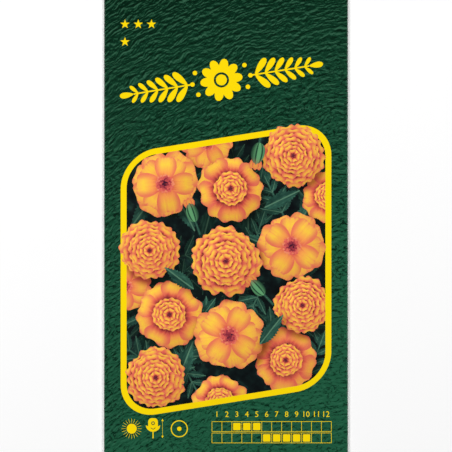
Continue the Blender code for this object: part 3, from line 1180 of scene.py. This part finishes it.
def triangulate(rings, edges, points):
    """Returns places, triangles, the input places behind each place, and the rings over each triangle."""
    places = np.concatenate([*rings, *edges, points])
    ring_starts = np.cumsum([0] + [len(ring) for ring in rings])
    faces = [list(range(start, start + len(ring))) for start, ring in zip(ring_starts, rings)]
    line_starts = ring_starts[-1] + np.cumsum([0] + [len(line) for line in edges])
    pairs = [(int(start) + step, int(start) + step + 1)
             for start, line in zip(line_starts, edges) for step in range(len(line) - 1)]
    corners = [Vector(place) for place in places.tolist()]
    found = delaunay_2d_cdt(corners, pairs, faces, INSIDE_ONLY, SAME_PLACE, True)
    return np.array([tuple(place) for place in found[0]]), np.array(found[2]), found[3], found[5]


def flattened(groups):
    """The members of all the groups in one array, and the number of each one's group."""
    numbers = np.repeat(np.arange(len(groups)), [len(group) for group in groups])
    return np.fromiter((member for group in groups for member in group), int), numbers


# %% Cut the sheet
def in_short_steps(ring):
    """The ring with points added on long sides, so that straight print can bend with the paper."""
    ring = np.asarray(ring, float)
    side = np.roll(ring, -1, 0) - ring
    count = np.maximum(1, np.ceil(np.linalg.norm(side, axis=1) / LINE_STEP)).astype(int)
    first = np.repeat(np.cumsum(count) - count, count)
    share = (np.arange(count.sum()) - first) / np.repeat(count, count)
    return np.repeat(ring, count, 0) + share[:, None] * np.repeat(side, count, 0)


BLANK_RING = 0
NO_MOTIF = -1
all_rings = [blank] + [in_short_steps(ring) for item in motifs for ring in item["rings"]]
places, triangles, _, covers = triangulate(all_rings, lines, lattice_points)
print("cut sheet:", len(places), "places,", len(triangles), "triangles")

# %% The topmost motif over each triangle
cover_ring, cover_triangle = flattened(covers)
ring_motif = np.repeat(np.arange(len(motifs)), [len(item["rings"]) for item in motifs])
cover_motif = np.concatenate([[NO_MOTIF], ring_motif])[cover_ring]
on_blank = np.zeros(len(covers), bool)
on_blank[cover_triangle[cover_ring == BLANK_RING]] = True
in_window = np.zeros(len(covers), bool)
in_window[cover_triangle[cover_motif == WINDOW]] = True
window_only = np.array([item["held"] for item in motifs] + [False])
shown = ~window_only[cover_motif] | in_window[cover_triangle]
top_motif = np.full(len(covers), NO_MOTIF)
np.maximum.at(top_motif, cover_triangle[shown], cover_motif[shown])
triangles = triangles[on_blank]
top_motif = top_motif[on_blank]
print("triangles on the blank:", len(triangles), "motifs that show:", len(np.unique(top_motif)))

# %% [markdown]
# ## Each motif's own measure, and painted light
# For every corner of every triangle, the place is turned into the topmost motif's frame: along it, across
# it, and its tint. The painted light has two parts: each blossom is shaded as a low dome lit from the
# upper left, and it throws a soft shadow on whatever lies deeper in the picture.

# %% Measure along and across the topmost motif at each corner
GROUND = {"ink": "leather_green", "at": (0, 0), "angle": 0.0, "length": 1.0, "half": 1.0, "tint": 0.5,
          "level": NO_BLOSSOM, "light": 1.0}


def of_top(key):
    """One value of each triangle's topmost motif. The ground is last in the list, where -1 finds it."""
    return np.array([item[key] for item in [*motifs, GROUND]])[top_motif][:, None]


corner_place = places[triangles]
from_start = corner_place - of_top("at")
cos, sin = np.cos(of_top("angle")), np.sin(of_top("angle"))
along = (from_start[..., 0] * cos + from_start[..., 1] * sin) / of_top("length")
across = (from_start[..., 1] * cos - from_start[..., 0] * sin) / of_top("half")
measure = np.stack([along, across, np.repeat(of_top("tint"), 3, 1)], -1)
print("measures:", measure.shape)

# %% Shadows and domes
SHADOW_SHIFT = np.array([0.9, -1.3])
SHADOW_SOFT = 3.2
SHADOW_DEPTH = 0.72
OVERLAY_SOFT = 2.2
OVERLAY_DEPTH = 0.5
LIGHT_FROM = np.array([-0.55, 0.83])


def smooth(share):
    """3 s^2 - 2 s^3 between 0 and 1."""
    share = np.clip(share, 0, 1)
    return share * share * (3 - 2 * share)


def blossom_shade(place, centre, radius):
    """1 under the blossom moved by the shadow's shift, falling smoothly to 0 round its rim."""
    away = np.linalg.norm(place - centre - SHADOW_SHIFT, axis=-1)
    return smooth((radius + SHADOW_SOFT * 0.6 - away) / SHADOW_SOFT)


def blossom_dome(place, centre, radius):
    """1.04 + 0.15 (outward . light) - 0.14 outward^2, where outward is 1 long at the rim."""
    outward = (place - centre) / radius
    return 1.04 + 0.15 * (outward @ LIGHT_FROM) - 0.14 * np.sum(outward**2, -1)


def overlay_shade(place, root, angle, size):
    """exp(-(distance to the overlay's middle line / softness)^2), moved by the shadow's shift."""
    ahead = ray(angle)
    from_root = place - root - SHADOW_SHIFT
    nearest = np.clip(from_root @ ahead, 0.1 * size, 0.85 * size)[..., None] * ahead
    return np.exp(-((np.linalg.norm(from_root - nearest, axis=-1) / OVERLAY_SOFT) ** 2))


# %% Painted light
corner_level = of_top("level")
painted = np.repeat(of_top("light"), 3, 1)
for number, (_, centre, radius, _, _) in enumerate(BLOSSOMS):
    shade = SHADOW_DEPTH * blossom_shade(corner_place, centre, radius)
    painted *= np.where(corner_level < number, 1 - shade, 1)
    painted *= np.where(corner_level == number, blossom_dome(corner_place, centre, radius), 1)
for _, root, angle, size in OVERLAYS:
    shade = OVERLAY_DEPTH * overlay_shade(corner_place, leaning(root), angle, size)
    painted *= np.where(corner_level < OVER_ALL, 1 - shade, 1)
print("painted light from", round(float(painted.min()), 2), "to", round(float(painted.max()), 2))


# %% [markdown]
# ## Folding the sheet
# Modifiers could bend the sheet, but a formula keeps the paper's length and gives exact normals. One
# function carries a point of the flat sheet into space. Along the sheet it runs out to the crease, round
# it on a small circle and back underneath. A return that lies on a flap, or on the other return, is
# lifted by one layer. The front is pushed up by the seeds: a broad crown, faint lumps over single seeds,
# and small puckers by the long sides.

# %% Where the seeds lie
def seed_lines():
    """Name, middle, direction and length of each CAD seed.

    The direction is the longest axis of its points, away from the end where most of them are, the husk's.
    """
    found = []
    for name in sorted(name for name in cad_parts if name.startswith("seed_")):
        points = points_of(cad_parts[name].data) / MM
        middle = (points.max(0) + points.min(0)) / 2
        _, axes = np.linalg.eigh(np.cov((points - middle).T))
        longest = axes[:, -1]
        run = (points - middle) @ longest
        heavy = np.sign(np.median(run) - (run.max() + run.min()) / 2) or 1.0
        found.append((name, middle, longest * -heavy, np.ptp(run)))
    return found


seeds = seed_lines()
print("seeds:", len(seeds))

# %% How far the front is pushed up
LUMP_HEIGHT = 0.16
LUMP_REACH = 2.0
PUCKER = 0.07


def lumps(x, y):
    """exp(-(distance to a seed's middle line / reach)^2) for each seed, the largest of them."""
    best = np.zeros(np.shape(x))
    for _, middle, direction, length in seeds:
        from_x, from_y = x - middle[0], y - middle[1]
        run = np.clip(from_x * direction[0] + from_y * direction[1], -0.4 * length, 0.4 * length)
        gap = np.hypot(from_x - run * direction[0], from_y - run * direction[1])
        best = np.maximum(best, np.exp(-(gap / LUMP_REACH) ** 2))
    return best


def bulge(x, y):
    """(1 - |x|^3)^1.5 (1 - |y|^4)^1.5 in shares of the way to the creases, with lumps and puckers."""
    side = np.clip(np.abs(x) / TURN_X, 0, 1)
    reach = np.where(y < CROWN_Y, TURN_Y + CROWN_Y, TURN_Y - CROWN_Y)
    end = np.clip(np.abs(y - CROWN_Y) / reach, 0, 1)
    crown = (1 - side**3) ** 1.5 * (1 - end**4) ** 1.5
    wave = np.sin(y / 3.7 + 1.3 * np.sin(y / 9.0) + np.sign(x))
    pucker = PUCKER * wave * side**2 * (1 - side**6) * (1 - end**6)
    return (BULGE - LUMP_HEIGHT) * crown + LUMP_HEIGHT * lumps(x, y) * smooth(crown * 2) + pucker


# %% How far a return is lifted
def lift(x, y, side):
    """One layer over a flap, and one more for the left return over the right, in millimetres."""
    flap = np.where(y > 0, TOP_FLAP, BOTTOM_FLAP)
    over_flap = smooth((np.abs(y) - (TURN_Y - flap - STEP_MARGIN - STEP_RAMP)) / STEP_RAMP)
    over_flap *= smooth((TURN_X - np.abs(x)) / (TURN_X - LIFTED_X))
    over_seam = smooth((x + SEAM_HALF + STEP_MARGIN + STEP_RAMP) / STEP_RAMP) * (side < 0)
    return LAYER * (over_flap + over_seam)


# %% The fold itself
FULL_TURN = math.pi - 1e-6


def wrapped(run, turn):
    """Out to turn, round the crease, and back: the flat coordinate and the angle round the crease."""
    beyond = np.abs(run) - turn
    angle = np.clip(beyond / CREASE, 0, math.pi)
    flat = np.minimum(np.abs(run), turn) + CREASE * np.sin(angle) - np.maximum(beyond - CREASE_RUN, 0)
    return np.sign(run) * flat, angle


def folded(flat_places, offset):
    """Places of the flat sheet in space, in metres, offset outwards from the sheet's middle."""
    s, t = flat_places[:, 0], flat_places[:, 1]
    x, side_angle = wrapped(s, TURN_X)
    y, flap_angle = wrapped(t, TURN_Y)
    x = x + np.sign(s) * offset * np.sin(side_angle)
    y = y + np.sign(t) * offset * np.sin(flap_angle)
    z = CREASE + PAPER / 2 + (CREASE + offset) * np.cos(side_angle) * np.cos(flap_angle)
    z = z + np.where((side_angle == 0) & (flap_angle == 0), bulge(x, y), 0)
    z = z + np.where(side_angle >= FULL_TURN, lift(x, y, np.sign(s)), 0)
    return np.stack([x, y, z], 1) * MM


# %% The normals of the folded paper
FINE_STEP = 0.004


def facing(flat_places, offset):
    """The cross product of a small step along the sheet and one up it, both on the folded paper."""
    steps = np.eye(2) * FINE_STEP
    along, up = (folded(flat_places + step, offset) - folded(flat_places - step, offset) for step in steps)
    normals = np.cross(along, up)
    return normals / np.linalg.norm(normals, axis=1, keepdims=True)


# %% [markdown]
# ## The sheet as one closed body
# The printed skin and the bare inner skin share the same outline, and a narrow wall of cut paper joins
# them. A Solidify modifier could thicken the sheet, but it would copy every small triangle of the print
# to the inside. The inner skin has no print, so it needs only the lattice and the fold lines. Normals
# worked out from the fold keep the long thin triangles of the print from showing as facets.

# %% The printed skin and its border
def outline_loop(faces):
    """The border's places in order: edges that only one triangle uses, followed head to tail."""
    edges = np.concatenate([faces[:, [0, 1]], faces[:, [1, 2]], faces[:, [2, 0]]])
    _, first, count = np.unique(np.sort(edges, 1), axis=0, return_index=True, return_counts=True)
    follow = dict(edges[first[count == 1]].tolist())
    loop = [next(iter(follow))]
    while (after := follow[loop[-1]]) != loop[0]:
        loop.append(after)
    return np.array(loop)


used, triangles = np.unique(triangles, return_inverse=True)
triangles = triangles.reshape(-1, 3)
places = places[used]
corner_a, corner_b, corner_c = (places[triangles[:, corner]] for corner in range(3))
twice_area = np.cross(corner_b - corner_a, corner_c - corner_a)
print("triangles that face down:", int((twice_area < 0).sum()))
print("least area:", float(np.abs(twice_area).min() / 2), "square mm")
border = outline_loop(triangles)

# %% The inner skin, cut with the same border and turned to face inwards
INNER_PITCH = 2.6
# Moved by a quarter of the pitch, no lattice point lies on the border, where it would have no partner
inner_lattice = lattice(*SHEET_BOX, INNER_PITCH) + INNER_PITCH / 4
inner_cut = triangulate([places[border]], lines, inner_lattice)
inner_places, inner_triangles, inner_from, inner_covers = inner_cut
inner_triangles = inner_triangles[[len(cover) > 0 for cover in inner_covers]][:, ::-1]
sources, inner_numbers = flattened(inner_from)
on_border = sources < len(border)
inner_border = np.full(len(border), -1)
inner_border[sources[on_border]] = inner_numbers[on_border]
print("border:", len(border), "places, without a partner:", int((inner_border < 0).sum()))
print("inner skin:", len(inner_triangles), "triangles")

# %% Both skins and the cut edge in one mesh
count = len(places)
after = np.roll(np.arange(len(border)), -1)
below = inner_border + count
wall_a = np.stack([border[after], border, below], 1)
wall_b = np.stack([border[after], below, below[after]], 1)
all_faces = np.concatenate([triangles, inner_triangles + count, wall_a, wall_b])
all_points = np.concatenate([folded(places, PAPER / 2), folded(inner_places, -PAPER / 2)])
sheet_mesh = bpy.data.meshes.new("paper_sheet")
sheet_mesh.vertices.add(len(all_points))
sheet_mesh.vertices.foreach_set("co", all_points.ravel())
sheet_mesh.loops.add(all_faces.size)
sheet_mesh.loops.foreach_set("vertex_index", all_faces.ravel().astype(np.int32))
sheet_mesh.polygons.add(len(all_faces))
sheet_mesh.polygons.foreach_set("loop_start", np.arange(0, all_faces.size, 3, dtype=np.int32))
sheet_mesh.update(calc_edges=True)
print("sheet:", len(all_points), "points,", len(all_faces), "faces, valid", not sheet_mesh.validate())

# %% [markdown]
# ## The print's map and its measures
# The inks need three things at each corner: where it lay on the flat sheet, the motif's own measure, and
# the painted light. The first is a map over the flat sheet. There the print has its full size, and the bare
# skin and the cut edge are drawn small beside it, in corners that the blank leaves free.

# %% Map of the flat sheet
BARE_SHRINK = 0.085
BARE_AT = np.array([0.11, 0.955])
EDGE_AT = (0.78, 0.95)
EDGE_WIDTH = 0.2
EDGE_HEIGHT = 0.02


def sheet_map():
    """Flat places over the map's span, then the shrunk inner skin, then the cut edge as a straight band."""
    printed = places[triangles] / MAP_SPAN + 0.5
    bare = inner_places[inner_triangles] * BARE_SHRINK / MAP_SPAN + BARE_AT
    share = np.arange(len(border)) / len(border)
    foot = np.stack([EDGE_AT[0] + EDGE_WIDTH * share, np.full(len(border), EDGE_AT[1])], 1)
    right = np.array([EDGE_WIDTH / len(border), 0])
    up = np.array([0, EDGE_HEIGHT])
    first = np.stack([foot + right, foot, foot + up], 1)
    second = np.stack([foot + right, foot + up, foot + right + up], 1)
    return np.concatenate([printed, bare, first, second]).reshape(-1, 2)


sheet_mesh.uv_layers.new(name=SHEET_MAP).uv.foreach_set("vector", sheet_map().astype(np.float32).ravel())

# %% Measure and painted light as attributes of the corners
unprinted = all_faces.size - painted.size
motif_values = np.concatenate([measure.ravel(), np.zeros(3 * unprinted)])
light_values = np.concatenate([painted.ravel(), np.ones(unprinted)])
sheet_mesh.attributes.new("on_motif", "FLOAT_VECTOR", "CORNER").data.foreach_set("vector", motif_values)
sheet_mesh.attributes.new("lit", "FLOAT", "CORNER").data.foreach_set("value", light_values)
print("corners with print:", painted.size, "without:", unprinted)


# %% Bare paper, for the inner skin and the cut edge
def make_bare_paper():
    material = bpy.data.materials.new("bare_paper")
    material.use_nodes = True
    tree = material.node_tree
    fibres = noise(tree, object_place(tree), scale=1500.0, detail=5.0, rough=0.7)
    shader = tree.nodes["Principled BSDF"]
    wire(tree, shader.inputs["Base Color"], blend(tree, fibres, tone(226, 222, 210), tone(243, 241, 234)))
    shader.inputs["Roughness"].default_value = 0.85
    return material


# %% Ink of each face
ink_names = list(INKS)
for name in ink_names:
    sheet_mesh.materials.append(INKS[name])
sheet_mesh.materials.append(make_bare_paper())
motif_ink = np.array([ink_names.index(item["ink"]) for item in [*motifs, GROUND]])
slots = np.concatenate([motif_ink[top_motif], np.full(len(all_faces) - len(triangles), len(ink_names))])
sheet_mesh.polygons.foreach_set("material_index", slots.astype(np.int32))
print("inks in use:", {name: int((slots == number).sum()) for number, name in enumerate(ink_names)})

# %% Normals: the skins take theirs from the fold. A normal of no length leaves the cut edge its own
outer_normals = facing(places, PAPER / 2)[triangles]
inner_normals = -facing(inner_places, -PAPER / 2)[inner_triangles]
cut_edge = np.arange(len(all_faces)) >= len(triangles) + len(inner_triangles)
own_normals = np.zeros((3 * int(cut_edge.sum()), 3))
corner_normals = np.concatenate([outer_normals.reshape(-1, 3), inner_normals.reshape(-1, 3), own_normals])
sheet_mesh.polygons.foreach_set("use_smooth", ~cut_edge)
sheet_mesh.normals_split_custom_set(corner_normals)
sheet_mesh.update()

# %% The finished sheet
paper_sheet = bpy.data.objects.new("printed_paper_envelope", sheet_mesh)
bpy.context.scene.collection.objects.link(paper_sheet)
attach(paper_sheet, "root")
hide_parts("paper_envelope")

# %% [markdown]
# ## The seeds
# A marigold seed is a slim dark spindle with fine ribs, and a tuft of straw-coloured awns at one end. One
# sculpted seed could be copied to all the places, but the seeds differ in length, and a formula follows
# each of them. One grid of length by angle gives the husk, and each awn is a thinner grid of the same
# kind. All the seeds are one piece, since they are sealed in together.

# %% Husk and awns as tubes
SEED_FIT = 0.97
HUSK_SHARE = 0.64
HUSK_RADIUS = 0.46
HUSK_FLATNESS = 0.8
AWNS = 5
# The awns start inside the husk, this share of the length before its end
AWN_ROOT = 0.05
AWN_RADIUS = 0.095
AWN_REACHES = (0.40, 0.27)
AWN_FAN = 0.055
AWN_GAP = 0.04
AWN_FLATNESS = 0.7


def tube(run, radius, sides, ribs=0, rib_depth=0.0):
    """Rings round the X axis: y and z are the radius times cos and sin, times 1 + depth cos(ribs angle).

    A pole in the middle of the first ring and one in that of the last close the ends.
    """
    angle = np.arange(sides) * math.tau / sides
    wave = 1 + rib_depth * np.cos(ribs * angle)
    y = radius[:, None] * np.cos(angle) * wave
    z = radius[:, None] * np.sin(angle) * wave
    rings = np.stack([np.repeat(run[:, None], sides, 1), y, z], -1).reshape(-1, 3)
    poles = [(run[0], 0, 0), (run[-1], 0, 0)]
    ring, side = np.meshgrid(np.arange(len(run) - 1), np.arange(sides), indexing="ij")
    here = ring * sides + side
    beside = ring * sides + (side + 1) % sides
    first_pole = np.full(sides, len(rings))
    wall = [(here, beside, beside + sides), (here, beside + sides, here + sides)]
    caps = [(beside[0], here[0], first_pole), (here[-1] + sides, beside[-1] + sides, first_pole + 1)]
    faces = [np.stack(corners, -1).reshape(-1, 3) for corners in wall + caps]
    return np.concatenate([rings, poles]), np.concatenate(faces)


def husk(length):
    """Radius = 0.46 sin(pi s^0.8)^0.75 (1 - 0.25 s), from the tip at the back, s = 0, to the tuft."""
    share = np.linspace(0, 1, 16)
    radius = HUSK_RADIUS * np.sin(math.pi * share**0.8) ** 0.75 * (1 - 0.25 * share)
    points, faces = tube((share * HUSK_SHARE - 0.5) * length, np.maximum(radius, 0.012), 18, 9, 0.07)
    return points * (1, 1, HUSK_FLATNESS), faces


def awn(number, length):
    """Radius = 0.095 (1 - s)^0.7 + 0.008, leaning out from the husk's end by its place in the fan."""
    share = np.linspace(0, 1, 7)
    radius = AWN_RADIUS * (1 - share) ** 0.7 + 0.008
    run = (HUSK_SHARE - 0.5 - AWN_ROOT) * length + share * AWN_REACHES[number % 2] * length
    points, faces = tube(run, radius, 8)
    from_middle = number - (AWNS - 1) / 2
    points[:, 1] += (points[:, 0] - points[0, 0]) * from_middle * AWN_FAN + from_middle * AWN_GAP
    return points * (1, 1, AWN_FLATNESS), faces


# %% Place a seed on each CAD seed
def joined(grids):
    """The points of all the grids, and their faces counted on from grid to grid."""
    starts = np.cumsum([0] + [len(points) for points, _ in grids])
    faces = [faces + start for (_, faces), start in zip(grids, starts)]
    return np.concatenate([points for points, _ in grids]), np.concatenate(faces)


def one_seed(middle, direction, long):
    """A husk and its awns along the seed's own direction, in metres, a little shorter than the CAD seed."""
    length = long * SEED_FIT
    points, faces = joined([husk(length)] + [awn(number, length) for number in range(AWNS)])
    ahead = direction / np.linalg.norm(direction)
    side = np.cross((0, 0, 1.0), ahead)
    up = np.cross(ahead, side)
    return (points @ np.stack([ahead, side, up]) + middle) * MM, faces


seed_points, seed_faces = joined([one_seed(*line) for _, *line in seeds])
seed_mesh = bpy.data.meshes.new("seeds")
seed_mesh.from_pydata(seed_points.tolist(), [], seed_faces.tolist())
seed_mesh.polygons.foreach_set("use_smooth", np.ones(len(seed_faces), bool))
husk_points = len(husk(1.0)[0])
awn_points = AWNS * len(awn(0, 1.0)[0])
straw = np.tile(np.repeat([0.0, 1.0], [husk_points, awn_points]), len(seeds))
seed_mesh.attributes.new("straw", "FLOAT", "POINT").data.foreach_set("value", straw)
print("seed faces:", len(seed_faces), "straw points:", int(straw.sum()))


# %% Husk material: nearly black, ribbed and dry, with straw-coloured awns
def make_husk():
    material = bpy.data.materials.new("seed_husk")
    material.use_nodes = True
    tree = material.node_tree
    grain = noise(tree, object_place(tree), scale=2600.0, detail=4.0)
    dark = blend(tree, grain, tone(24, 18, 16), tone(74, 60, 48))
    pale = blend(tree, grain, tone(186, 160, 112), tone(226, 206, 162))
    rise = {"Strength": 0.3, "Distance": 0.03 * MM, "Height": grain}
    shader = tree.nodes["Principled BSDF"]
    wire(tree, shader.inputs["Base Color"], blend(tree, own_value(tree, "straw"), dark, pale))
    wire(tree, shader.inputs["Normal"], add_node(tree, "ShaderNodeBump", rise).outputs[0])
    shader.inputs["Roughness"].default_value = 0.72
    return material


# %% The finished seeds
seed_mesh.materials.append(make_husk())
loose_seeds = bpy.data.objects.new("loose_seeds", seed_mesh)
bpy.context.scene.collection.objects.link(loose_seeds)
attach(loose_seeds, "root")
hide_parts(*[name for name, _, _, _ in seeds])


# %% [markdown]
# ## Floor
# The photograph shows the packet alone, so it lies on a plain white sheet of studio paper that is large
# enough to fill every view. The sheet is part of the stage and not of the object.

# %% Floor
FLOOR_HALF = 1.5
FLOOR_GAP = 0.02
floor_corners = [(x * FLOOR_HALF, y * FLOOR_HALF, 0) for x, y in ((-1, -1), (1, -1), (1, 1), (-1, 1))]
floor_mesh = bpy.data.meshes.new("floor")
floor_mesh.from_pydata(floor_corners, [], [(0, 1, 2, 3)])
floor_material = bpy.data.materials.new("floor_white")
floor_material.use_nodes = True
floor_shader = floor_material.node_tree.nodes["Principled BSDF"]
floor_shader.inputs["Base Color"].default_value = (1, 1, 1, 1)
floor_shader.inputs["Roughness"].default_value = 0.9
floor_shader.inputs["Specular IOR Level"].default_value = 0.1
floor_mesh.materials.append(floor_material)
floor = bpy.data.objects.new("floor", floor_mesh)
floor.location.z = -FLOOR_GAP * MM
bpy.context.scene.collection.objects.link(floor)
